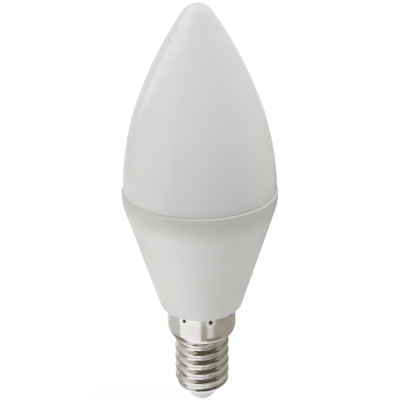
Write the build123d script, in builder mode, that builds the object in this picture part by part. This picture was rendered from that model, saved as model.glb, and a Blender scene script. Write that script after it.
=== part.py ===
from build123d import *
import math
import os

# Candle lamp on an E14 screw cap, in millimetres. The origin is on the axis at the underside of the
# centre contact, and +Z runs from the contact to the tip.

# Driving dimensions: diffuser
diffuser_height = 44.4  # rim of the housing to the tip
base_lean = 0.8  # degrees from upright where the flank leaves the rim
tip_radius = 4.2
tip_lean = 34.5  # degrees from upright where the flank runs into the round tip
spigot_width = 0.9  # step from the diffuser's foot in to its spigot
spigot_depth = 3.0

# Driving dimensions: housing
rim_radius = 18.75
rim_ledge = 0.35  # how far the rim stands proud of the diffuser
rim_wall = 2.8  # from the rim's top down to where the cone would meet the upright wall
rim_round = 12.0  # large round between the upright wall and the cone
rim_edge_chamfer = 0.25
housing_height = 31.0
housing_foot_radius = 10.2
foot_edge_chamfer = 0.3
neck_gap = 0.45  # from the foot of the collar up to the neck that plugs into it

# Driving dimensions: screw cap
sheet = 0.3  # thickness of the cap's metal
collar_radius = 8.6
collar_height = 5.85
shoulder_round = 3.3
neck_round = 0.8  # hollow round between the shoulder and the thread
thread_pitch = 2.822
thread_crest_radius = 6.9
thread_root_radius = 6.1
thread_crest_flat = 0.5
thread_root_flat = 0.36
thread_height = 14.7  # shell's lower end to the foot of the shoulder
thread_start_angle = 143.4  # where the crest stands at the shell's lower end, counted from +X
shell_end_radius = 4.8
shell_end_rise = 1.5  # how far the tapered end climbs out to the full width
shell_end_round = 3.0
rolling_clearance = 0.1  # between the crests and the outline that trims the thread's lower run-out

# Driving dimensions: staking punches round the collar
punch_count = 8
punch_start_angle = 15.25
punch_drop = 1.5  # below the top of the collar
punch_mouth_radius = 0.42
punch_tip_radius = 0.12
punch_depth = 0.5

# Driving dimensions: insulator and centre contact
insulator_cone_height = 2.0
insulator_tip_radius = 3.0
insulator_band = 0.6  # upright part that shows under the shell
insulator_plug_height = 2.6  # part inside the shell, above its tapered end
contact_radius = 2.5
contact_height = 0.8
contact_edge_chamfer = 0.5
pin_radius = 0.8
pin_rise = 0.5  # how far the pin stands out above the insulator

# Clearance of the pieces that are pressed or glued into one another
fit_clearance = 0.05

# Heights along the axis
insulator_shoulder_z = contact_height + insulator_cone_height
shell_end_z = insulator_shoulder_z + insulator_band
shell_full_z = shell_end_z + shell_end_rise
insulator_top_z = shell_full_z + insulator_plug_height
shoulder_foot_z = shell_end_z + thread_height
shoulder_turn = math.acos(1 - (collar_radius - thread_root_radius) / (shoulder_round + neck_round))
shoulder_height = (shoulder_round + neck_round) * math.sin(shoulder_turn)
collar_foot_z = shoulder_foot_z + shoulder_height
housing_z = collar_foot_z + collar_height
rim_z = housing_z + housing_height
tip_z = rim_z + diffuser_height
punch_z = housing_z - punch_drop
ridge_start_z = shell_end_z - thread_pitch
ridge_end_z = shoulder_foot_z + shoulder_height / 2
ridge_foot = (thread_pitch - thread_root_flat) / 2  # above and below the crest

# Radii that follow from the driving dimensions
diffuser_radius = rim_radius - rim_ledge
spigot_radius = diffuser_radius - spigot_width
collar_bore = collar_radius - sheet
thread_bore = thread_root_radius - sheet
end_bore = shell_end_radius - sheet
neck_radius = collar_bore - fit_clearance
trim_radius = thread_crest_radius + rolling_clearance
thread_mean_radius = (thread_crest_radius + thread_root_radius) / 2


def upright_direction(lean):
    """Unit direction in the outline's plane that leans towards the axis by so many degrees from upright."""
    return Vector(-math.sin(math.radians(lean)), math.cos(math.radians(lean)))


def arcs_meeting_point(start, start_direction, end, end_direction):
    """Where two arcs of equal tangent length meet on the way from start to end."""
    chord = end - start
    both = start_direction + end_direction
    square = 4 - both.dot(both)
    half_linear = chord.dot(both)
    tangent_length = (math.sqrt(half_linear**2 + square * chord.dot(chord)) - half_linear) / square
    return (start + start_direction * tangent_length + end - end_direction * tangent_length) / 2


def corner(sketch, radius, height):
    """Corner of a section that lies nearest to a radius and a height."""
    return sketch.vertices().sort_by_distance((radius, height))[0]


def collar_outline(inset):
    """Draw the collar and the shoulder, so far inside their outer face, and return the shoulder's foot."""
    wall_radius = collar_radius - inset
    wall = Polyline((0, housing_z), (wall_radius, housing_z), (wall_radius, collar_foot_z))
    shoulder = JernArc(wall @ 1, wall % 1, shoulder_round - inset, -math.degrees(shoulder_turn))
    neck = JernArc(shoulder @ 1, shoulder % 1, neck_round + inset, math.degrees(shoulder_turn))
    return neck @ 1


def punch_ring(outer_radius, inner_radius, mouth_radius, tip_radius, mode):
    """Ring of small cones that point at the axis, at the height of the staking punches."""
    with Locations((0, 0, punch_z)):
        with PolarLocations((outer_radius + inner_radius) / 2, punch_count, punch_start_angle):
            Cone(tip_radius, mouth_radius, outer_radius - inner_radius, rotation=(0, 90, 0), mode=mode)


os.makedirs("parts", exist_ok=True)

# Diffuser: a candle outline of two flank arcs and a round tip, with a spigot below
with BuildPart() as diffuser:
    with BuildSketch(Plane.XZ):
        with BuildLine():
            foot = Vector(diffuser_radius, rim_z)
            tip = Vector(0, tip_z)
            tip_join = tip + Vector(
                tip_radius * math.cos(math.radians(tip_lean)),
                tip_radius * (math.sin(math.radians(tip_lean)) - 1),
            )
            flank_join = arcs_meeting_point(
                foot, upright_direction(base_lean), tip_join, upright_direction(tip_lean)
            )
            lower_flank = TangentArc(foot, flank_join, tangent=upright_direction(base_lean))
            upper_flank = TangentArc(flank_join, tip_join, tangent=lower_flank % 1)
            TangentArc(tip_join, tip, tangent=upper_flank % 1)
            Polyline(
                tip,
                (0, rim_z - spigot_depth + fit_clearance),
                (spigot_radius, rim_z - spigot_depth + fit_clearance),
                (spigot_radius, rim_z),
                foot,
            )
        make_face()
    revolve(axis=Axis.Z)

# Housing: a cone with a rim that takes the diffuser's spigot, and a neck that plugs into the cap
with BuildPart() as housing:
    with BuildSketch(Plane.XZ) as housing_section:
        with BuildLine():
            Polyline(
                (0, collar_foot_z + neck_gap),
                (neck_radius, collar_foot_z + neck_gap),
                (neck_radius, housing_z),
                (housing_foot_radius, housing_z),
                (rim_radius, rim_z - rim_wall),
                (rim_radius, rim_z),
                (spigot_radius + fit_clearance, rim_z),
                (spigot_radius + fit_clearance, rim_z - spigot_depth),
                (0, rim_z - spigot_depth),
                close=True,
            )
        make_face()
        fillet(corner(housing_section, rim_radius, rim_z - rim_wall), rim_round)
        chamfer(corner(housing_section, rim_radius, rim_z), rim_edge_chamfer)
        chamfer(corner(housing_section, housing_foot_radius, housing_z), foot_edge_chamfer)
    revolve(axis=Axis.Z)
    punch_ring(
        collar_radius,
        collar_radius - punch_depth - sheet - fit_clearance,
        punch_mouth_radius + sheet + fit_clearance,
        punch_tip_radius + sheet + fit_clearance,
        Mode.SUBTRACT,
    )

# Thread ridge: a knuckle outline in flats, swept up a helix from below the shell into its shoulder
with BuildPart() as thread_ridge:
    with BuildLine(Plane.XY.offset(ridge_start_z)) as ridge_path:
        Helix(thread_pitch, ridge_end_z - ridge_start_z, thread_crest_radius)
    with BuildSketch(Plane.XZ):
        with Locations((0, ridge_start_z)):
            Polygon(
                (thread_bore, -ridge_foot),
                (thread_root_radius - fit_clearance, -ridge_foot),
                (thread_mean_radius, -thread_pitch / 4),
                (thread_crest_radius, -thread_crest_flat / 2),
                (thread_crest_radius, thread_crest_flat / 2),
                (thread_mean_radius, thread_pitch / 4),
                (thread_root_radius - fit_clearance, ridge_foot),
                (thread_bore, ridge_foot),
                align=None,
            )
    sweep(path=ridge_path.wire(), is_frenet=True)

# Screw cap: the thread with its tapered end, then the shoulder and the collar, hollow inside
with BuildPart() as screw_cap:
    with BuildSketch(Plane.XY.offset(shell_end_z)):
        Circle(thread_root_radius)
    extrude(amount=ridge_end_z - shell_end_z)
    add(thread_ridge.part, rotation=(0, 0, thread_start_angle))
    with BuildSketch(Plane.XZ) as trim_section:
        with BuildLine():
            Polyline(
                (0, shell_end_z),
                (shell_end_radius, shell_end_z),
                (trim_radius, shell_full_z),
                (trim_radius, collar_foot_z),
                (0, collar_foot_z),
                close=True,
            )
        make_face()
        fillet(corner(trim_section, trim_radius, shell_full_z), shell_end_round)
    revolve(axis=Axis.Z, mode=Mode.INTERSECT)
    with BuildSketch(Plane.XZ):
        with BuildLine():
            Polyline(collar_outline(0), (0, shoulder_foot_z), (0, housing_z))
        make_face()
    revolve(axis=Axis.Z)
    with BuildSketch(Plane.XZ):
        with BuildLine():
            Polyline(
                collar_outline(sheet),
                (thread_bore, shell_full_z),
                (end_bore, shell_end_z + sheet),
                (end_bore, shell_end_z),
                (0, shell_end_z),
                (0, housing_z),
            )
        make_face()
    revolve(axis=Axis.Z, mode=Mode.SUBTRACT)
    punch_ring(
        collar_radius - sheet / 2,
        collar_radius - punch_depth - sheet,
        punch_mouth_radius + sheet,
        punch_tip_radius + sheet,
        Mode.ADD,
    )
    punch_ring(
        collar_radius + sheet,
        collar_radius - punch_depth,
        punch_mouth_radius,
        punch_tip_radius,
        Mode.SUBTRACT,
    )

# Insulator: a cone under the shell, a band in its mouth and a plug inside
with BuildPart() as cap_insulator:
    with BuildSketch(Plane.XZ):
        with BuildLine():
            Polyline(
                (pin_radius + fit_clearance, contact_height),
                (insulator_tip_radius, contact_height),
                (end_bore - fit_clearance, insulator_shoulder_z),
                (end_bore - fit_clearance, shell_end_z + sheet),
                (thread_bore - fit_clearance, shell_full_z),
                (thread_bore - fit_clearance, insulator_top_z),
                (pin_radius + fit_clearance, insulator_top_z),
                close=True,
            )
        make_face()
    revolve(axis=Axis.Z)

# Centre contact: a button under the insulator and a pin up through it
with BuildPart() as centre_contact:
    with BuildSketch(Plane.XZ) as contact_section:
        with BuildLine():
            Polyline(
                (0, 0),
                (contact_radius, 0),
                (contact_radius, contact_height),
                (pin_radius, contact_height),
                (pin_radius, insulator_top_z + pin_rise),
                (0, insulator_top_z + pin_rise),
                close=True,
            )
        make_face()
        chamfer(corner(contact_section, contact_radius, 0), contact_edge_chamfer)
    revolve(axis=Axis.Z)

diffuser.part.label = "diffuser"
export_step(diffuser.part, "parts/diffuser.step")

housing.part.label = "housing"
export_step(housing.part, "parts/housing.step")

screw_cap.part.label = "screw_cap"
export_step(screw_cap.part, "parts/screw_cap.step")

cap_insulator.part.label = "cap_insulator"
export_step(cap_insulator.part, "parts/cap_insulator.step")

centre_contact.part.label = "centre_contact"
export_step(centre_contact.part, "parts/centre_contact.step")
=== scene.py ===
"""Candle lamp on a rolled screw cap: turned pieces, their finishes, a pale floor and soft light."""

import math

import bpy
from mathutils import Matrix, Vector


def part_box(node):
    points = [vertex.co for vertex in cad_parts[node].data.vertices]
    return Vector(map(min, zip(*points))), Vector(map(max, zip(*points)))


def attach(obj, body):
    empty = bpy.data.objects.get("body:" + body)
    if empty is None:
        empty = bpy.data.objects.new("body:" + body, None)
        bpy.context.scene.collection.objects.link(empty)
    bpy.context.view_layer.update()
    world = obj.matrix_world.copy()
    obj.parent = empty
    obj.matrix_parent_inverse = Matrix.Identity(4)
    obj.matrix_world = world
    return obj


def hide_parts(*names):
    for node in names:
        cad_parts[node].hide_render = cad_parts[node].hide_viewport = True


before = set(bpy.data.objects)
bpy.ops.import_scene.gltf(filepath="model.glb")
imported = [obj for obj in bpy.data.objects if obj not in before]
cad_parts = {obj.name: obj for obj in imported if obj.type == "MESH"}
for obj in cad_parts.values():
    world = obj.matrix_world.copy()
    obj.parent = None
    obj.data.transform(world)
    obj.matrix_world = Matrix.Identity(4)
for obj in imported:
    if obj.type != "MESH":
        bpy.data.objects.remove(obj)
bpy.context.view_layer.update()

MM = 0.001  # sizes below are in millimetres, and the scene is in metres
BODY = "root"


# Sizes that the solids give


def widest_and_top(node):
    """Largest radius and top of a solid, in millimetres."""
    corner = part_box(node)[1]
    return corner.x / MM, corner.z / MM


def foot_height(node):
    """Underside of a solid, in millimetres."""
    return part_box(node)[0].z / MM


rim_radius, rim_z = widest_and_top("housing")
diffuser_radius, tip_z = widest_and_top("diffuser")
collar_radius, housing_z = widest_and_top("screw_cap")
plug_radius, insulator_top_z = widest_and_top("cap_insulator")
contact_radius, pin_top_z = widest_and_top("centre_contact")
spigot_foot_z = foot_height("diffuser")
neck_foot_z = foot_height("housing")
shell_end_z = foot_height("screw_cap")
contact_height = foot_height("cap_insulator")

# Sizes of the diffuser's outline
base_lean = math.radians(0.8)
tip_lean = math.radians(34.5)
tip_radius = 4.2
spigot_inset = 0.9

# Sizes of the housing's outline
rim_wall = 2.8
rim_round = 12.0
rim_edge_round = 0.5
foot_radius = 10.2
foot_edge_round = 0.35

# Sizes of the cap's outline
sheet = 0.3
fit_clearance = 0.05
collar_height = 5.85
collar_edge_round = 0.1
shoulder_round = 3.3
neck_round = 0.8
shell_end_radius = 4.8
shell_end_rise = 1.5
shell_taper_round = 0.4
shell_end_outer_round = 0.14
shell_end_inner_round = 0.12

# Sizes of the cap's thread and of the taper that trims its lower end
thread_pitch = 2.822
thread_crest_radius = 6.9
thread_root_radius = 6.1
thread_start_angle = math.radians(143.4)
thread_foot_blend = 0.1
rolling_clearance = 0.1
run_out_round = 3.0
run_out_blend = 0.2

# Sizes of the punch marks round the collar
punch_count = 8
punch_start_angle = math.radians(15.25)
punch_drop = 1.5
punch_mouth_radius = 0.5
punch_tip_radius = 0.1
punch_depth = 0.5
dish_reach_share = 3.0  # of the mouth's radius
dish_depth_share = 0.12  # of the punch's depth

# Sizes of the insulator and the contact
insulator_tip_radius = 3.0
insulator_shoulder_z = 2.8
insulator_shoulder_round = 0.35
insulator_tip_round = 0.25
plug_edge_round = 0.2
pin_radius = 0.8
pin_edge_round = 0.15
button_top_round = 0.1
button_round = 0.55

# Sizes that follow
spigot_radius = diffuser_radius - spigot_inset
collar_bore = collar_radius - sheet
collar_foot_z = housing_z - collar_height
shoulder_turn = math.acos(1 - (collar_radius - thread_root_radius) / (shoulder_round + neck_round))
shoulder_foot_z = collar_foot_z - (shoulder_round + neck_round) * math.sin(shoulder_turn)
neck_radius = collar_bore - fit_clearance
thread_bore = thread_root_radius - sheet
thread_depth = thread_crest_radius - thread_root_radius
thread_start_z = shell_end_z - thread_pitch * thread_start_angle / math.tau
knuckle_radius = (thread_pitch**2 / 4 + thread_depth**2) / (4 * thread_depth)
end_bore = shell_end_radius - sheet
shell_full_z = shell_end_z + shell_end_rise
trim_radius = thread_crest_radius + rolling_clearance
punch_z = housing_z - punch_drop

# Rows of the outlines: how far apart they lie, and how many make an arc
tip_rows = 16
flank_rows = 48
round_rows = 8
fine_round_rows = 12
spigot_step = 1.5
housing_step = 0.5
shell_step = 0.135
bore_step = 0.6
insulator_step = 0.25
contact_step = 0.2

# Columns round the axis
dome_columns = 256
housing_columns = 256
cap_columns = 352
insulator_columns = 128
contact_columns = 96
punch_crowding = 0.35  # spacing of the columns at a punch mark, as a share of even spacing

# Edges that stay sharp, and points so close that they are joined
sharp_edge = math.radians(40)
merge_distance = 0.0001


# Outlines: lists of radius and height, from the top down the outside


def along_line(start, end, step):
    """Points from start towards end, without the end itself."""
    count = max(1, math.ceil((end - start).length / step))
    return [start.lerp(end, share / count) for share in range(count)]


def along_arc(start, direction, end, count):
    """Points of the arc that leaves start in a direction and ends at end, without the end itself."""
    chord = end - start
    side = Vector((-direction.y, direction.x))
    radius = chord.length_squared / (2 * chord.dot(side))
    centre = start + side * radius
    turn = 2 * math.atan2(direction.x * chord.y - direction.y * chord.x, direction.dot(chord))
    steps = [Matrix.Rotation(turn * share / count, 2) for share in range(count)]
    return [centre + step @ (start - centre) for step in steps]


def rounded_outline(corners, step, arc_rows=round_rows):
    """Points along a chain of corners (radius, height, round), each rounded by its own radius."""
    points = []
    leave = Vector(corners[0][:2])
    for before, corner, after in zip(corners, corners[1:], corners[2:]):
        here = Vector(corner[:2])
        into = (here - Vector(before[:2])).normalized()
        out = (Vector(after[:2]) - here).normalized()
        reach = corner[2] * math.tan(into.angle(out) / 2)
        arrive = here - into * reach
        points += along_line(leave, arrive, step)
        leave = here + out * reach
        if reach > 0:
            points += along_arc(arrive, into, leave, arc_rows)
    end = Vector(corners[-1][:2])
    return points + along_line(leave, end, step) + [end]


def lean_direction(lean):
    """Direction that leans out from straight down by an angle."""
    return Vector((math.sin(lean), -math.cos(lean)))


def arcs_meeting_point(start, start_direction, end, end_direction):
    """Where two arcs of equal tangent length meet on the way from start to end."""
    chord = end - start
    both = start_direction + end_direction
    square = 4 - both.dot(both)
    half_linear = chord.dot(both)
    tangent_length = (math.sqrt(half_linear**2 + square * chord.dot(chord)) - half_linear) / square
    return (start + start_direction * tangent_length + end - end_direction * tangent_length) / 2


def diffuser_outline():
    """Round tip, two flank arcs and the spigot that stands in the housing."""
    tip = Vector((0, tip_z))
    foot = Vector((diffuser_radius, rim_z))
    upper_direction = lean_direction(tip_lean)
    tip_join = tip + tip_radius * Vector((math.cos(tip_lean), math.sin(tip_lean) - 1))
    flank_join = arcs_meeting_point(tip_join, upper_direction, foot, lean_direction(base_lean))
    upper_turn = 2 * upper_direction.angle_signed(flank_join - tip_join)
    lower_direction = Matrix.Rotation(-upper_turn, 2) @ upper_direction
    points = along_arc(tip, Vector((1, 0)), tip_join, tip_rows)
    points += along_arc(tip_join, upper_direction, flank_join, flank_rows)
    points += along_arc(flank_join, lower_direction, foot, flank_rows)
    spigot = [
        (foot.x, foot.y, 0),
        (spigot_radius, rim_z, 0),
        (spigot_radius, spigot_foot_z, 0),
        (0, spigot_foot_z, 0),
    ]
    return points + rounded_outline(spigot, spigot_step)


def housing_outline():
    """Recess for the spigot, rim, cone and the neck that plugs into the cap."""
    recess_radius = spigot_radius + fit_clearance
    recess_floor_z = spigot_foot_z - fit_clearance
    corners = [
        (0, recess_floor_z, 0),
        (recess_radius, recess_floor_z, 0),
        (recess_radius, rim_z, 0),
        (rim_radius, rim_z, rim_edge_round),
        (rim_radius, rim_z - rim_wall, rim_round),
        (foot_radius, housing_z, foot_edge_round),
        (neck_radius, housing_z, 0),
        (neck_radius, neck_foot_z, 0),
        (0, neck_foot_z, 0),
    ]
    return rounded_outline(corners, housing_step, fine_round_rows)


def run_out_radius(height):
    """Radius of the tapered, rounded outline that trims the thread's lower run-out."""
    taper = math.atan2(trim_radius - shell_end_radius, shell_end_rise)
    reach = run_out_round * math.tan(taper / 2)
    below_round = shell_full_z + reach - height
    if below_round <= 0:
        return trim_radius
    if below_round <= run_out_round * math.sin(taper):
        return trim_radius - run_out_round + math.sqrt(run_out_round**2 - below_round**2)
    return shell_end_radius + (height - shell_end_z) * math.tan(taper)


def cap_outline():
    """Collar, shoulder, threaded shell and its tapered end outside, then back up the bore."""
    half_turn = math.tan(shoulder_turn / 2)
    taper_slope = (trim_radius - shell_end_radius) / shell_end_rise
    taper_top_z = shell_end_z + (thread_root_radius - shell_end_radius) / taper_slope
    outer_corners = [
        (collar_bore, housing_z, 0),
        (collar_radius, housing_z, collar_edge_round),
        (collar_radius, collar_foot_z - shoulder_round * half_turn, shoulder_round),
        (thread_root_radius, shoulder_foot_z + neck_round * half_turn, neck_round),
        (thread_root_radius, taper_top_z, shell_taper_round),
        (shell_end_radius, shell_end_z, shell_end_outer_round),
        (end_bore, shell_end_z, shell_end_inner_round),
        (end_bore, shell_end_z + sheet, 0),
    ]
    bore_corners = [
        (end_bore, shell_end_z + sheet, 0),
        (thread_bore, shell_full_z, 0),
        (thread_bore, shoulder_foot_z, 0),
        (collar_bore, collar_foot_z, 0),
        (collar_bore, housing_z, 0),
    ]
    outside = rounded_outline(outer_corners, shell_step, fine_round_rows)
    return outside[:-1] + rounded_outline(bore_corners, bore_step)


def insulator_outline():
    """Hole for the pin, plug inside the shell, band in its mouth and cone below."""
    pin_hole = pin_radius + fit_clearance
    band_radius = end_bore - fit_clearance
    corners = [
        (pin_hole, insulator_top_z, 0),
        (plug_radius, insulator_top_z, plug_edge_round),
        (plug_radius, shell_full_z, 0),
        (band_radius, shell_end_z + sheet, 0),
        (band_radius, insulator_shoulder_z, insulator_shoulder_round),
        (insulator_tip_radius, contact_height, insulator_tip_round),
        (pin_hole, contact_height, 0),
        (pin_hole, insulator_top_z, 0),
    ]
    return rounded_outline(corners, insulator_step)


def contact_outline():
    """Pin up through the insulator and a rounded button below."""
    corners = [
        (0, pin_top_z, 0),
        (pin_radius, pin_top_z, pin_edge_round),
        (pin_radius, contact_height, 0),
        (contact_radius, contact_height, button_top_round),
        (contact_radius, 0, button_round),
        (0, 0, 0),
    ]
    return rounded_outline(corners, contact_step)


# Node helpers


def rgba(red, green, blue):
    """Opaque colour."""
    return (red, green, blue, 1.0)


def fill_socket(tree, socket, value):
    """Link a value to a socket if it comes from a node, or else set it there."""
    if isinstance(value, bpy.types.NodeSocket):
        tree.links.new(value, socket)
    else:
        socket.default_value = value


def add_node(tree, kind, settings=None, **inputs):
    """New node with its settings and its inputs, which are named with underscores for spaces."""
    node = tree.nodes.new(kind)
    for name, value in (settings or {}).items():
        setattr(node, name, value)
    for name, value in inputs.items():
        fill_socket(tree, node.inputs[name.replace("_", " ")], value)
    return node


def new_sockets(tree, in_out, sockets):
    """Named sockets of a node tree."""
    for name, kind in sockets.items():
        tree.interface.new_socket(name=name, in_out=in_out, socket_type="NodeSocket" + kind)


def calc(tree, operation, *values):
    """Output of a new maths node."""
    node = tree.nodes.new("ShaderNodeMath")
    node.operation = operation
    for socket, value in zip(node.inputs, values):
        fill_socket(tree, socket, value)
    return node.outputs[0]


def hypotenuse(tree, first, second):
    """Long side of a right-angled triangle."""
    square = calc(tree, "MULTIPLY", second, second)
    return calc(tree, "SQRT", calc(tree, "MULTIPLY_ADD", first, first, square))


def wrapped(tree, value, half):
    """Value brought between plus and minus a half of its period."""
    return calc(tree, "WRAP", value, half, calc(tree, "MULTIPLY", half, -1.0))


def soft_step(tree, value, low, high, at_low=0.0, at_high=1.0):
    """Smooth change from one level to another as a value goes from low to high."""
    node = add_node(
        tree,
        "ShaderNodeMapRange",
        {"interpolation_type": "SMOOTHSTEP"},
        Value=value,
        From_Min=low,
        From_Max=high,
        To_Min=at_low,
        To_Max=at_high,
    )
    return node.outputs["Result"]


def mean_of(tree, first, second):
    """Mean of two values."""
    return calc(tree, "MULTIPLY_ADD", first, 0.5, calc(tree, "MULTIPLY", second, 0.5))


def soft_band(tree, value, low, high, soft):
    """1 between two values and 0 outside them, with soft ends."""
    rise = soft_step(tree, value, low - soft, low + soft)
    fall = soft_step(tree, value, high - soft, high + soft, 1.0, 0.0)
    return calc(tree, "MULTIPLY", rise, fall)


def blend_colours(tree, share, first, second):
    """Colour between two others."""
    node = add_node(tree, "ShaderNodeMix", {"data_type": "RGBA"})
    for socket in node.inputs:
        if socket.type == "RGBA":
            fill_socket(tree, socket, first if socket.name == "A" else second)
    fill_socket(tree, node.inputs[0], share)
    return next(socket for socket in node.outputs if socket.type == "RGBA")


# Turned pieces: an outline spun about the axis, with a thread and a ring of punch marks if it has them


def punch_side(tree, angle, sizes):
    """Angle from the nearest punch mark, and half the angle between two marks."""
    half_cell = calc(tree, "DIVIDE", math.pi, sizes["Punch Count"])
    from_punch = calc(tree, "SUBTRACT", angle, sizes["Punch Angle"])
    return wrapped(tree, from_punch, half_cell), half_cell


def crowded_angle(tree, angle, sizes):
    """Angle of a column, with the columns drawn together near each punch mark."""
    side, half_cell = punch_side(tree, angle, sizes)
    share = calc(tree, "DIVIDE", calc(tree, "ABSOLUTE", side), half_cell)
    loose = calc(tree, "SUBTRACT", 1.0, sizes["Crowding"])
    pull_share = calc(tree, "MULTIPLY", loose, calc(tree, "SUBTRACT", share, 1.0))
    return calc(tree, "MULTIPLY_ADD", pull_share, side, angle)


def knuckle_radius_at(tree, angle, height, sizes):
    """Radius of a knuckle thread, whose crests and roots are arcs of one radius."""
    climb = calc(tree, "MULTIPLY", calc(tree, "DIVIDE", angle, math.tau), sizes["Pitch"])
    above = calc(tree, "SUBTRACT", calc(tree, "SUBTRACT", height, sizes["Crest Height"]), climb)
    half = calc(tree, "DIVIDE", sizes["Pitch"], 2.0)
    off_crest = calc(tree, "ABSOLUTE", wrapped(tree, above, half))
    off_root = calc(tree, "SUBTRACT", half, off_crest)
    knuckle = sizes["Knuckle Radius"]
    square = calc(tree, "MULTIPLY", knuckle, knuckle)

    def arc_height(off):
        return calc(tree, "SQRT", calc(tree, "SUBTRACT", square, calc(tree, "MULTIPLY", off, off)))

    crest_centre = calc(tree, "SUBTRACT", sizes["Crest Radius"], knuckle)
    root_centre = calc(tree, "ADD", sizes["Root Radius"], knuckle)
    mix = add_node(
        tree,
        "ShaderNodeMix",
        Factor=calc(tree, "LESS_THAN", off_crest, off_root),
        A=calc(tree, "SUBTRACT", root_centre, arc_height(off_root)),
        B=calc(tree, "ADD", crest_centre, arc_height(off_crest)),
    )
    return mix.outputs["Result"]


def threaded_radius(tree, radius, thread_radius, threaded, limit):
    """Radius of the shell with its thread, which ends where the limit trims it."""
    ridge = calc(tree, "SUBTRACT", thread_radius, radius)
    ridge = calc(tree, "SMOOTH_MAX", ridge, 0.0, thread_foot_blend * MM)
    ridged = calc(tree, "MULTIPLY_ADD", ridge, threaded, radius)
    return calc(tree, "SMOOTH_MIN", ridged, limit, run_out_blend * MM)


def punch_pit(tree, angle, height, sizes):
    """Depth of the nearest punch mark, with the shallow dish that it draws in round itself."""
    side, _ = punch_side(tree, angle, sizes)
    across = calc(tree, "MULTIPLY", side, sizes["Punch Reach"])
    off = hypotenuse(tree, across, calc(tree, "SUBTRACT", height, sizes["Punch Height"]))
    mouth = sizes["Punch Mouth"]
    depth = sizes["Punch Depth"]
    dish_reach = calc(tree, "MULTIPLY", mouth, dish_reach_share)
    dish_depth = calc(tree, "MULTIPLY", depth, dish_depth_share)
    pit = soft_step(tree, off, sizes["Punch Tip"], mouth, depth, 0.0)
    dish = soft_step(tree, off, 0.0, dish_reach, dish_depth, 0.0)
    return calc(tree, "ADD", pit, dish)


TURNED_SIZES = {
    "Columns": "Int",
    "Crowding": "Float",
    "Pitch": "Float",
    "Crest Height": "Float",
    "Crest Radius": "Float",
    "Root Radius": "Float",
    "Knuckle Radius": "Float",
    "Punch Count": "Float",
    "Punch Angle": "Float",
    "Punch Height": "Float",
    "Punch Reach": "Float",
    "Punch Mouth": "Float",
    "Punch Tip": "Float",
    "Punch Depth": "Float",
    "Finish": "Material",
}


def plain_tube(tree, columns, last_row):
    """Tube of radius 1 and length 1, with a ring of points for each row of an outline."""
    tube = add_node(
        tree,
        "GeometryNodeMeshCylinder",
        {"fill_type": "NONE"},
        Vertices=columns,
        Side_Segments=last_row,
        Radius=1.0,
        Depth=1.0,
    )
    return tube.outputs["Mesh"]


def spin_place(tree, radius, angle, height):
    """Place at a radius, an angle round the axis and a height."""
    place = add_node(
        tree,
        "ShaderNodeCombineXYZ",
        X=calc(tree, "MULTIPLY", radius, calc(tree, "COSINE", angle)),
        Y=calc(tree, "MULTIPLY", radius, calc(tree, "SINE", angle)),
        Z=height,
    )
    return place.outputs["Vector"]


def finished_mesh(tree, mesh, finish):
    """Close the seam and the poles of a shaped tube, smooth it and give it its finish."""
    merged = add_node(tree, "GeometryNodeMergeByDistance", Geometry=mesh, Distance=merge_distance * MM)
    smooth = add_node(tree, "GeometryNodeSetShadeSmooth", Geometry=merged.outputs["Geometry"])
    realized = add_node(tree, "GeometryNodeRealizeInstances", Geometry=smooth.outputs["Geometry"])
    whole = realized.outputs["Geometry"]
    finished = add_node(tree, "GeometryNodeSetMaterial", Geometry=whole, Material=finish)
    return finished.outputs["Geometry"]


def turned_piece_tree():
    """Node tree that spins an outline about the axis, and threads and punches the rows that say so."""
    tree = bpy.data.node_groups.new("turned_piece", "GeometryNodeTree")
    new_sockets(tree, "INPUT", {"Outline": "Geometry", **TURNED_SIZES})
    new_sockets(tree, "OUTPUT", {"Piece": "Geometry"})
    sizes = tree.nodes.new("NodeGroupInput").outputs
    outline = sizes["Outline"]
    counted = add_node(tree, "GeometryNodeAttributeDomainSize", Geometry=outline)
    last_row = calc(tree, "SUBTRACT", counted.outputs["Point Count"], 1.0)
    tube = plain_tube(tree, sizes["Columns"], last_row)

    place = tree.nodes.new("GeometryNodeInputPosition").outputs["Position"]
    on_tube = add_node(tree, "ShaderNodeSeparateXYZ", Vector=place).outputs
    below_top = calc(tree, "SUBTRACT", 0.5, on_tube["Z"])
    row = calc(tree, "ROUND", calc(tree, "MULTIPLY", below_top, last_row))
    angle = crowded_angle(tree, calc(tree, "ARCTAN2", on_tube["Y"], on_tube["X"]), sizes)

    def from_row(kind, value):
        node = add_node(
            tree,
            "GeometryNodeSampleIndex",
            {"data_type": kind},
            Geometry=outline,
            Value=value,
            Index=row,
        )
        return node.outputs["Value"]

    def row_share(name):
        node = add_node(tree, "GeometryNodeInputNamedAttribute", {"data_type": "FLOAT"}, Name=name)
        return from_row("FLOAT", node.outputs["Attribute"])

    on_outline = add_node(tree, "ShaderNodeSeparateXYZ", Vector=from_row("FLOAT_VECTOR", place)).outputs
    height = on_outline["Z"]
    thread = knuckle_radius_at(tree, angle, height, sizes)
    threaded = row_share("threaded")
    radius = threaded_radius(tree, on_outline["X"], thread, threaded, row_share("limit"))
    pit = calc(tree, "MULTIPLY", punch_pit(tree, angle, height, sizes), row_share("punched"))
    moved = spin_place(tree, calc(tree, "SUBTRACT", radius, pit), angle, height)

    stored = add_node(tree, "GeometryNodeStoreNamedAttribute", Geometry=tube, Name="pit", Value=pit)
    marked = stored.outputs["Geometry"]
    shaped = add_node(tree, "GeometryNodeSetPosition", Geometry=marked, Position=moved)
    finished = finished_mesh(tree, shaped.outputs["Geometry"], sizes["Finish"])
    add_node(tree, "NodeGroupOutput", Piece=finished)
    return tree


turned_tree = turned_piece_tree()


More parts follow.
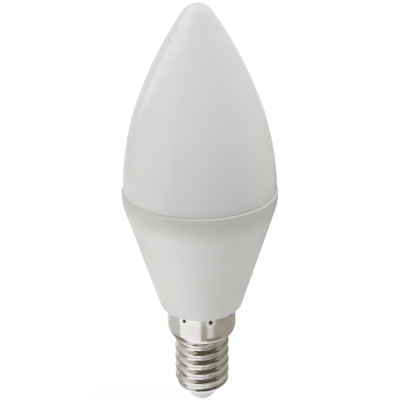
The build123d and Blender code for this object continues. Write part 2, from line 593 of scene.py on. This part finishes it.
def outline_object(name, outline, row_shares):
    """Object whose points are the rows of an outline, with a named share for each row."""
    mesh = bpy.data.meshes.new(name)
    mesh.from_pydata([(point.x * MM, 0, point.y * MM) for point in outline], [], [])
    for share_name, plain_share in (("threaded", 0.0), ("punched", 0.0), ("limit", 1.0)):
        share = mesh.attributes.new(share_name, "FLOAT", "POINT")
        share.data.foreach_set("value", row_shares.get(share_name, [plain_share] * len(outline)))
    piece = bpy.data.objects.new(name, mesh)
    bpy.context.scene.collection.objects.link(piece)
    return piece


def turned_piece(name, node, finish, outline, columns, row_shares=None):
    """Turn an outline into a finished piece that stands for a solid."""
    piece = outline_object(name, outline, row_shares or {})
    sizes = {
        "Columns": columns,
        "Crowding": punch_crowding if row_shares else 1.0,
        "Pitch": thread_pitch * MM,
        "Crest Height": thread_start_z * MM,
        "Crest Radius": thread_crest_radius * MM,
        "Root Radius": thread_root_radius * MM,
        "Knuckle Radius": knuckle_radius * MM,
        "Punch Count": punch_count,
        "Punch Angle": punch_start_angle,
        "Punch Height": punch_z * MM,
        "Punch Reach": collar_radius * MM,
        "Punch Mouth": punch_mouth_radius * MM,
        "Punch Tip": punch_tip_radius * MM,
        "Punch Depth": punch_depth * MM,
        "Finish": finish,
    }
    turning = piece.modifiers.new("turning", "NODES")
    turning.node_group = turned_tree
    for socket in turned_tree.interface.items_tree:
        if socket.in_out == "INPUT" and socket.name in sizes:
            turning[socket.identifier] = sizes[socket.name]
    shaped = piece.evaluated_get(bpy.context.evaluated_depsgraph_get())
    mesh = bpy.data.meshes.new_from_object(shaped)
    piece.modifiers.remove(turning)
    piece.data = mesh
    mesh.set_sharp_from_angle(angle=sharp_edge)
    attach(piece, BODY)
    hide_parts(node)


# Patterns that more than one finish uses

# Part of a noise's range that a pattern spreads out
noise_low = 0.35
noise_high = 0.65
ring_low = 0.3
ring_high = 0.7


def pattern_group(name, inputs, outputs):
    """New shader group with its named sockets: the tree, what it is given and what it puts out."""
    tree = bpy.data.node_groups.new(name, "ShaderNodeTree")
    new_sockets(tree, "INPUT", inputs)
    new_sockets(tree, "OUTPUT", outputs)
    return tree, tree.nodes.new("NodeGroupInput").outputs, tree.nodes.new("NodeGroupOutput").inputs


def noise_at(tree, place, scale, detail):
    """Soft noise at a place, about 0.5."""
    return add_node(tree, "ShaderNodeTexNoise", Vector=place, Scale=scale, Detail=detail).outputs["Fac"]


def soft_mottle_group():
    """Cloudy change between two colours, as in moulded plastic and handled metal."""
    tree, given, result = pattern_group(
        "soft_mottle",
        {"Place": "Vector", "Clouds": "Float", "Light": "Color", "Dark": "Color"},
        {"Colour": "Color", "Share": "Float"},
    )
    clouds = noise_at(tree, given["Place"], given["Clouds"], detail=4.0)
    share = soft_step(tree, clouds, noise_low, noise_high)
    fill_socket(tree, result["Share"], share)
    fill_socket(tree, result["Colour"], blend_colours(tree, share, given["Light"], given["Dark"]))
    return tree


def fine_grain_group():
    """Fine skin that a mould leaves: a roughness that varies, and a height for the bump."""
    tree, given, result = pattern_group(
        "fine_grain",
        {"Place": "Vector", "Grain": "Float", "Smooth": "Float", "Rough": "Float"},
        {"Roughness": "Float", "Height": "Float"},
    )
    wide_share = 0.04
    wide_scale = calc(tree, "MULTIPLY", given["Grain"], wide_share)
    grain = noise_at(tree, given["Place"], given["Grain"], detail=2.0)
    wide = noise_at(tree, given["Place"], wide_scale, detail=3.0)
    both = mean_of(tree, grain, wide)
    roughness = soft_step(tree, both, noise_low, noise_high, given["Smooth"], given["Rough"])
    fill_socket(tree, result["Roughness"], roughness)
    fill_socket(tree, result["Height"], grain)
    return tree


def turning_marks_group():
    """Fine rings from rolling and turning, which come and go round the axis."""
    tree, given, result = pattern_group(
        "turning_marks",
        {"Place": "Vector", "Around": "Float", "Across": "Float"},
        {"Mark": "Float"},
    )
    place = add_node(tree, "ShaderNodeSeparateXYZ", Vector=given["Place"]).outputs
    along = calc(tree, "ADD", place["Z"], hypotenuse(tree, place["X"], place["Y"]))
    drawn = add_node(
        tree,
        "ShaderNodeCombineXYZ",
        X=calc(tree, "MULTIPLY", place["X"], given["Around"]),
        Y=calc(tree, "MULTIPLY", place["Y"], given["Around"]),
        Z=calc(tree, "MULTIPLY", along, given["Across"]),
    )
    rings = noise_at(tree, drawn.outputs["Vector"], scale=1.0, detail=3.0)
    fill_socket(tree, result["Mark"], soft_step(tree, rings, ring_low, ring_high))
    return tree


soft_mottle = soft_mottle_group()
fine_grain = fine_grain_group()
turning_marks = turning_marks_group()


# Finishes

# How far red, green and blue light spread inside the white plastics, as shares of their depth
warm_spread = (1.0, 0.97, 0.94)


def new_finish(name, **constants):
    """Material, tree, shader inputs and place on the piece; constants go on the shader itself."""
    material = bpy.data.materials.new(name)
    material.use_nodes = True
    tree = material.node_tree
    shader = tree.nodes["Principled BSDF"]
    for socket, value in constants.items():
        shader.inputs[socket.replace("_", " ")].default_value = value
    return material, tree, shader.inputs, add_node(tree, "ShaderNodeTexCoord").outputs["Object"]


def pattern(tree, group, **inputs):
    """Outputs of a pattern placed in a finish."""
    return add_node(tree, "ShaderNodeGroup", {"node_tree": group}, **inputs).outputs


def raise_surface(tree, shader, height, lift):
    """Bump the shader's surface by a height of so many millimetres."""
    bump = add_node(tree, "ShaderNodeBump", Strength=1.0, Distance=lift * MM, Height=height)
    fill_socket(tree, shader["Normal"], bump.outputs["Normal"])


def height_on(tree, place):
    """Height of a place on the piece."""
    return add_node(tree, "ShaderNodeSeparateXYZ", Vector=place).outputs["Z"]


def moulded_finish(name, light, dark, clouds, grain, smooth, rough, lift, **constants):
    """Moulded plastic: cloudy colour, fine grain in its gloss and in its surface."""
    material, tree, shader, place = new_finish(name, **constants)
    colour = pattern(tree, soft_mottle, Place=place, Clouds=clouds, Light=light, Dark=dark)["Colour"]
    skin = pattern(tree, fine_grain, Place=place, Grain=grain, Smooth=smooth, Rough=rough)
    fill_socket(tree, shader["Base Color"], colour)
    fill_socket(tree, shader["Roughness"], skin["Roughness"])
    raise_surface(tree, shader, skin["Height"], lift)
    return material, tree, shader, place, colour


def opal_finish():
    """Opal diffuser: milky, with painted shade that darkens it towards the housing."""
    material, tree, shader, place, colour = moulded_finish(
        "opal",
        light=rgba(0.83, 0.83, 0.82),
        dark=rgba(0.81, 0.81, 0.8),
        clouds=60.0,
        grain=2500.0,
        smooth=0.15,
        rough=0.22,
        lift=0.0006,
        Subsurface_Weight=0.25,
        Subsurface_Radius=warm_spread,
        Subsurface_Scale=8.0 * MM,
    )
    # Painted shade: the diffuser's colour greys towards the housing, fading out 30 mm above the rim.
    opal_painted_shade = rgba(0.76, 0.76, 0.745)
    clear_z = rim_z + 30.0
    clear = soft_step(tree, height_on(tree, place), rim_z * MM, clear_z * MM)
    fill_socket(tree, shader["Base Color"], blend_colours(tree, clear, opal_painted_shade, colour))
    return material


def satin_white_finish():
    """Housing: white satin plastic, with painted shade greying a band under the rim, and less of it on
    the rim's top edge.
    """
    material, tree, shader, place, colour = moulded_finish(
        "satin_white",
        light=rgba(0.81, 0.81, 0.795),
        dark=rgba(0.79, 0.79, 0.77),
        clouds=90.0,
        grain=5000.0,
        smooth=0.3,
        rough=0.4,
        lift=0.004,
    )
    # Painted shade: a grey band under the rim, faded in over 6.5 mm and kept at 0.35 of its strength on
    # the rim's top edge.
    rim_painted_shade = rgba(0.65, 0.64, 0.6)
    shade_foot_z = rim_z - 7.5
    shade_full_z = rim_z - 1.0
    edge_foot_z = rim_z - 0.5
    edge_top_z = rim_z - 0.1
    edge_shade_share = 0.35
    height = height_on(tree, place)
    under_rim_shade = soft_step(tree, height, shade_foot_z * MM, shade_full_z * MM)
    on_edge = soft_step(tree, height, edge_foot_z * MM, edge_top_z * MM, 1.0, edge_shade_share)
    share = calc(tree, "MULTIPLY", under_rim_shade, on_edge)
    fill_socket(tree, shader["Base Color"], blend_colours(tree, share, colour, rim_painted_shade))
    return material


def insulator_finish():
    """Insulator: white plastic, a little warm and duller."""
    return moulded_finish(
        "moulded_white",
        light=rgba(0.95, 0.95, 0.935),
        dark=rgba(0.92, 0.92, 0.9),
        clouds=500.0,
        grain=6000.0,
        smooth=0.45,
        rough=0.6,
        lift=0.006,
        Subsurface_Weight=0.3,
        Subsurface_Radius=warm_spread,
        Subsurface_Scale=1.0 * MM,
    )[0]


def rolled_metal_finish(name, light, dark, smooth, rough, clouds, rings, lift):
    """Plated metal with fine rings in its gloss and its surface, and cloudy handling marks."""
    ring_change = 120.0
    dull_low = 0.1
    dull_high = 0.9
    material, tree, shader, place = new_finish(name, Metallic=1.0)
    mottle = pattern(tree, soft_mottle, Place=place, Clouds=clouds, Light=light, Dark=dark)
    mark = pattern(tree, turning_marks, Place=place, Around=ring_change, Across=rings)["Mark"]
    dulled = mean_of(tree, mottle["Share"], mark)
    roughness = soft_step(tree, dulled, dull_low, dull_high, smooth, rough)
    fill_socket(tree, shader["Base Color"], mottle["Colour"])
    fill_socket(tree, shader["Roughness"], roughness)
    raise_surface(tree, shader, mark, lift)
    return material, tree, shader, mottle["Colour"]


def nickel_finish():
    """Cap: bright nickel plate, with painted shade, dark and brown, in the punch marks."""
    material, tree, shader, colour = rolled_metal_finish(
        "nickel",
        light=rgba(0.79, 0.788, 0.782),
        dark=rgba(0.74, 0.735, 0.722),
        smooth=0.1,
        rough=0.2,
        clouds=250.0,
        rings=9000.0,
        lift=0.0015,
    )
    # Painted shade: the punch pits turn dark brown from 7 % to 30 % of a punch's depth.
    pit_painted_shade = rgba(0.22, 0.19, 0.14)
    pit_shade_share = 0.9
    unshaded_depth = 0.07 * punch_depth
    full_shade_depth = 0.3 * punch_depth
    pit = add_node(tree, "ShaderNodeAttribute", {"attribute_name": "pit"}).outputs["Fac"]
    share = soft_step(tree, pit, unshaded_depth * MM, full_shade_depth * MM, 0.0, pit_shade_share)
    fill_socket(tree, shader["Base Color"], blend_colours(tree, share, colour, pit_painted_shade))
    return material


def tinned_finish():
    """Centre contact: dull tinned metal with ring marks."""
    return rolled_metal_finish(
        "tinned",
        light=rgba(0.64, 0.62, 0.59),
        dark=rgba(0.54, 0.52, 0.48),
        smooth=0.28,
        rough=0.45,
        clouds=900.0,
        rings=5000.0,
        lift=0.004,
    )[0]


# Pieces


def cap_row_shares(rows):
    """Rows of the cap that are threaded, trimmed by the run-out or punched."""
    lowest = min(range(len(rows)), key=lambda row: rows[row].y)
    on_shell = [row < lowest and point.y < collar_foot_z for row, point in enumerate(rows)]
    limit = [
        run_out_radius(point.y) * MM if shell and point.y < shoulder_foot_z else 1.0
        for shell, point in zip(on_shell, rows)
    ]
    return {
        "threaded": [float(shell) for shell in on_shell],
        "limit": limit,
        "punched": [float(point.y > collar_foot_z) for point in rows],
    }


def housing_row_shares(rows):
    """Rows of the housing's neck, which the punches dent behind the collar."""
    on_neck = [abs(point.x - neck_radius) < fit_clearance and point.y < housing_z for point in rows]
    return {"punched": [float(dented) for dented in on_neck]}


def make_lamp():
    """All the pieces of the lamp, each in its finish."""
    housing_rows = housing_outline()
    housing_shares = housing_row_shares(housing_rows)
    cap_rows = cap_outline()
    cap_shares = cap_row_shares(cap_rows)
    opal = opal_finish()
    satin_white = satin_white_finish()
    nickel = nickel_finish()
    moulded_white = insulator_finish()
    tinned = tinned_finish()
    turned_piece("diffuser_dome", "diffuser", opal, diffuser_outline(), dome_columns)
    turned_piece(
        "housing_cone",
        "housing",
        satin_white,
        housing_rows,
        housing_columns,
        housing_shares,
    )
    turned_piece("threaded_cap", "screw_cap", nickel, cap_rows, cap_columns, cap_shares)
    turned_piece(
        "insulator_cone",
        "cap_insulator",
        moulded_white,
        insulator_outline(),
        insulator_columns,
    )
    turned_piece(
        "contact_button",
        "centre_contact",
        tinned,
        contact_outline(),
        contact_columns,
    )


# Studio: floor, surroundings, lights and camera

# Floor and the light of the room
floor_half = 2000.0
floor_in_bounced_light = rgba(0.85, 0.85, 0.85)
floor_as_seen = rgba(0.3, 0.3, 0.3)
floor_glow = 0.82
near_floor = 60.0
far_floor = 200.0
room_level = 0.45

# Cove of cloth, in which bearing 0 is in front and bearings rise to the right
cove_foot_radius = 10.0
cove_radius = 45.0
cove_lift = 0.3
cove_top_z = 260.0
cove_sides = 96
bearing_soft = 4.0
reach_soft = 2.0

# Cloths, from bright to dark
bright_cloth = rgba(1.7, 1.7, 1.7)
white_cloth = rgba(1.05, 1.05, 1.05)
back_cloth = rgba(0.8, 0.8, 0.79)
light_cloth = rgba(0.74, 0.73, 0.71)
stone_cloth = rgba(0.66, 0.645, 0.615)
grey_cloth = rgba(0.57, 0.55, 0.51)
clay_cloth = rgba(0.5, 0.475, 0.43)
brown_cloth = rgba(0.42, 0.385, 0.32)
dun_cloth = rgba(0.34, 0.315, 0.27)
umber_cloth = rgba(0.26, 0.225, 0.17)
dark_cloth = rgba(0.105, 0.088, 0.058)

# Panels, each over those before it: bearing from and to, reach from and to, cloth
# Reach is the way out along the floor and then up the wall
cove_panels = (
    (-78.0, -30.0, 60.0, 400.0, clay_cloth),
    (-200.0, -78.0, 60.0, 72.0, dun_cloth),
    (-200.0, -40.0, 72.0, 97.0, light_cloth),
    (-126.0, -78.0, 36.0, 60.0, stone_cloth),
    (-72.0, -4.0, 0.0, 60.0, white_cloth),
    (0.0, 166.0, 18.0, 62.0, brown_cloth),
    (-64.0, 25.0, 0.0, 18.0, white_cloth),
    (17.0, 35.0, 38.0, 54.0, light_cloth),
    (14.0, 62.0, 18.0, 36.0, umber_cloth),
    (45.0, 166.0, 62.0, 400.0, brown_cloth),
    (66.0, 166.0, 66.0, 94.0, umber_cloth),
    (-80.0, 46.0, 51.0, 62.0, white_cloth),
    (-36.0, 66.0, 55.0, 400.0, dark_cloth),
    (132.0, 200.0, 98.0, 400.0, back_cloth),
    (166.0, 200.0, 0.0, 98.0, back_cloth),
    (-200.0, -126.0, 0.0, 400.0, back_cloth),
    (-150.0, -64.0, 10.0, 26.0, umber_cloth),
)

# Bright window on the left, whose sill rises towards its front edge
window_back = -112.0
window_front = -50.0
window_edge_soft = 3.0
window_sill = 227.0  # reach at bearing 0, if the window went so far
window_slope = 0.96
sill_soft = 4.0

# Lamps and camera
lamp_distance = 700.0
lamp_width = 450.0
camera_look_down = math.radians(23.55)
camera_roll = math.radians(-0.76)
camera_distance = 239.31
camera_target_z = 55.41
camera_lens = 89.55
camera_sensor = 36.0
camera_clip = 10.0


def stage_object(name, mesh, material):
    """Object of the studio, which is no part of the lamp."""
    mesh.materials.append(material)
    thing = bpy.data.objects.new(name, mesh)
    bpy.context.scene.collection.objects.link(thing)
    return thing


def bare_material(name):
    """Material without a shader, its tree and the socket of its surface."""
    material = bpy.data.materials.new(name)
    material.use_nodes = True
    tree = material.node_tree
    tree.nodes.remove(tree.nodes["Principled BSDF"])
    return material, tree, tree.nodes["Material Output"].inputs["Surface"]


def seen_directly(tree):
    """1 for what the camera sees straight, in metal or through glass, and 0 for light that bounces."""
    path = tree.nodes.new("ShaderNodeLightPath").outputs
    mirrored = calc(tree, "MAXIMUM", path["Is Glossy Ray"], path["Is Transmission Ray"])
    return calc(tree, "MAXIMUM", path["Is Camera Ray"], mirrored)


def floor_finish():
    """White floor that keeps a faint shadow near the lamp and is plain white further out."""
    material, tree, surface = bare_material("floor_white")
    seen = seen_directly(tree)
    cloth = blend_colours(tree, seen, floor_in_bounced_light, floor_as_seen)
    matt = add_node(tree, "ShaderNodeBsdfDiffuse", Color=cloth)
    place = add_node(tree, "ShaderNodeTexCoord").outputs["Object"]
    axes = add_node(tree, "ShaderNodeSeparateXYZ", Vector=place).outputs
    away = hypotenuse(tree, axes["X"], axes["Y"])
    shown = soft_step(tree, away, near_floor * MM, far_floor * MM, floor_glow, 1.0)
    strength = calc(tree, "MULTIPLY", seen, shown)
    glow = add_node(tree, "ShaderNodeEmission", Color=rgba(1.0, 1.0, 1.0), Strength=strength)
    both = tree.nodes.new("ShaderNodeAddShader")
    fill_socket(tree, both.inputs[0], matt.outputs["BSDF"])
    fill_socket(tree, both.inputs[1], glow.outputs["Emission"])
    fill_socket(tree, surface, both.outputs["Shader"])
    return material


def make_floor():
    """Square of floor under the lamp."""
    half = floor_half * MM
    corners = [(-half, -half, 0), (half, -half, 0), (half, half, 0), (-half, half, 0)]
    mesh = bpy.data.meshes.new("floor")
    mesh.from_pydata(corners, [], [(0, 1, 2, 3)])
    stage_object("floor", mesh, floor_finish())


def make_world():
    """White surroundings, with less of them in the light that falls on the lamp."""
    world = bpy.data.worlds.new("studio")
    world.use_nodes = True
    tree = world.node_tree
    background = tree.nodes["Background"].inputs
    background["Color"].default_value = rgba(1.0, 1.0, 1.0)
    strength = soft_step(tree, seen_directly(tree), 0.0, 1.0, room_level, 1.0)
    fill_socket(tree, background["Strength"], strength)
    bpy.context.scene.world = world


def cove_mesh():
    """Ring of floor and the round wall that rises from it."""
    profile = ((cove_foot_radius, cove_lift), (cove_radius, cove_lift), (cove_radius, cove_top_z))
    turns = [math.tau * side / cove_sides for side in range(cove_sides)]
    points = [
        (radius * math.cos(turn) * MM, radius * math.sin(turn) * MM, height * MM)
        for radius, height in profile
        for turn in turns
    ]
    faces = []
    for ring in range(len(profile) - 1):
        for side in range(cove_sides):
            here = ring * cove_sides + side
            after = ring * cove_sides + (side + 1) % cove_sides
            faces.append((here, after, after + cove_sides, here + cove_sides))
    mesh = bpy.data.meshes.new("cove")
    mesh.from_pydata(points, [], faces)
    return mesh


def cove_finish():
    """Panels of cloth laid over each other, and the bright window."""
    material, tree, surface = bare_material("cove_cloth")
    place = add_node(tree, "ShaderNodeTexCoord").outputs["Object"]
    axes = add_node(tree, "ShaderNodeSeparateXYZ", Vector=place).outputs
    outwards = hypotenuse(tree, axes["X"], axes["Y"])
    reach = calc(tree, "DIVIDE", calc(tree, "ADD", outwards, axes["Z"]), MM)
    forward = calc(tree, "MULTIPLY", axes["Y"], -1.0)
    bearing = calc(tree, "DEGREES", calc(tree, "ARCTAN2", axes["X"], forward))
    colour = grey_cloth
    for first, last, low, high, cloth in cove_panels:
        beside = soft_band(tree, bearing, first, last, bearing_soft)
        between = soft_band(tree, reach, low, high, reach_soft)
        colour = blend_colours(tree, calc(tree, "MULTIPLY", beside, between), colour, cloth)
    over_sill = calc(tree, "SUBTRACT", reach, window_sill)
    over_sill = calc(tree, "MULTIPLY_ADD", bearing, -window_slope, over_sill)
    beside = soft_band(tree, bearing, window_back, window_front, window_edge_soft)
    above = soft_step(tree, over_sill, -sill_soft, sill_soft)
    colour = blend_colours(tree, calc(tree, "MULTIPLY", beside, above), colour, bright_cloth)
    glow = add_node(tree, "ShaderNodeEmission", Color=colour, Strength=1.0)
    fill_socket(tree, surface, glow.outputs["Emission"])
    return material


def make_cove():
    """Cove of cloth round the lamp, floor and wall in one, which only metal and gloss mirror."""
    cove = stage_object("cove", cove_mesh(), cove_finish())
    cove.visible_camera = False
    cove.visible_diffuse = False
    cove.visible_shadow = False
    cove.visible_transmission = False


def add_lamp(name, bearing, rise, power):
    """Square soft lamp that faces the middle of the object, from a bearing and a rise in degrees."""
    data = bpy.data.lights.new(name, "AREA")
    data.size = lamp_width * MM
    data.energy = power
    lamp = bpy.data.objects.new(name, data)
    turn = math.radians(bearing)
    tilt = math.radians(rise)
    way = Vector((math.cos(tilt) * math.sin(turn), -math.cos(tilt) * math.cos(turn), math.sin(tilt)))
    middle = Vector((0, 0, tip_z / 2))
    lamp.location = (middle + way * lamp_distance) * MM
    lamp.rotation_euler = way.to_track_quat("Z", "Y").to_euler()
    lamp.visible_glossy = False
    bpy.context.scene.collection.objects.link(lamp)


def make_camera():
    """Camera in front, looking down on the lamp, with a slight roll."""
    data = bpy.data.cameras.new("camera")
    data.sensor_width = camera_sensor
    data.lens = camera_lens
    data.clip_start = camera_clip * MM
    camera = bpy.data.objects.new("camera", data)
    back = Vector((0, -math.cos(camera_look_down), math.sin(camera_look_down)))
    target = Vector((0, 0, camera_target_z))
    camera.location = (target + back * camera_distance) * MM
    level = (-back).to_track_quat("-Z", "Y").to_matrix()
    camera.rotation_euler = (level @ Matrix.Rotation(camera_roll, 3, "Z")).to_euler()
    bpy.context.scene.collection.objects.link(camera)
    bpy.context.scene.camera = camera


make_lamp()
make_floor()
make_world()
make_cove()
add_lamp("left", bearing=-60.0, rise=8.0, power=1.95)
add_lamp("right", bearing=90.0, rise=62.0, power=2.15)
make_camera()
bpy.context.scene.view_settings.view_transform = "Standard"
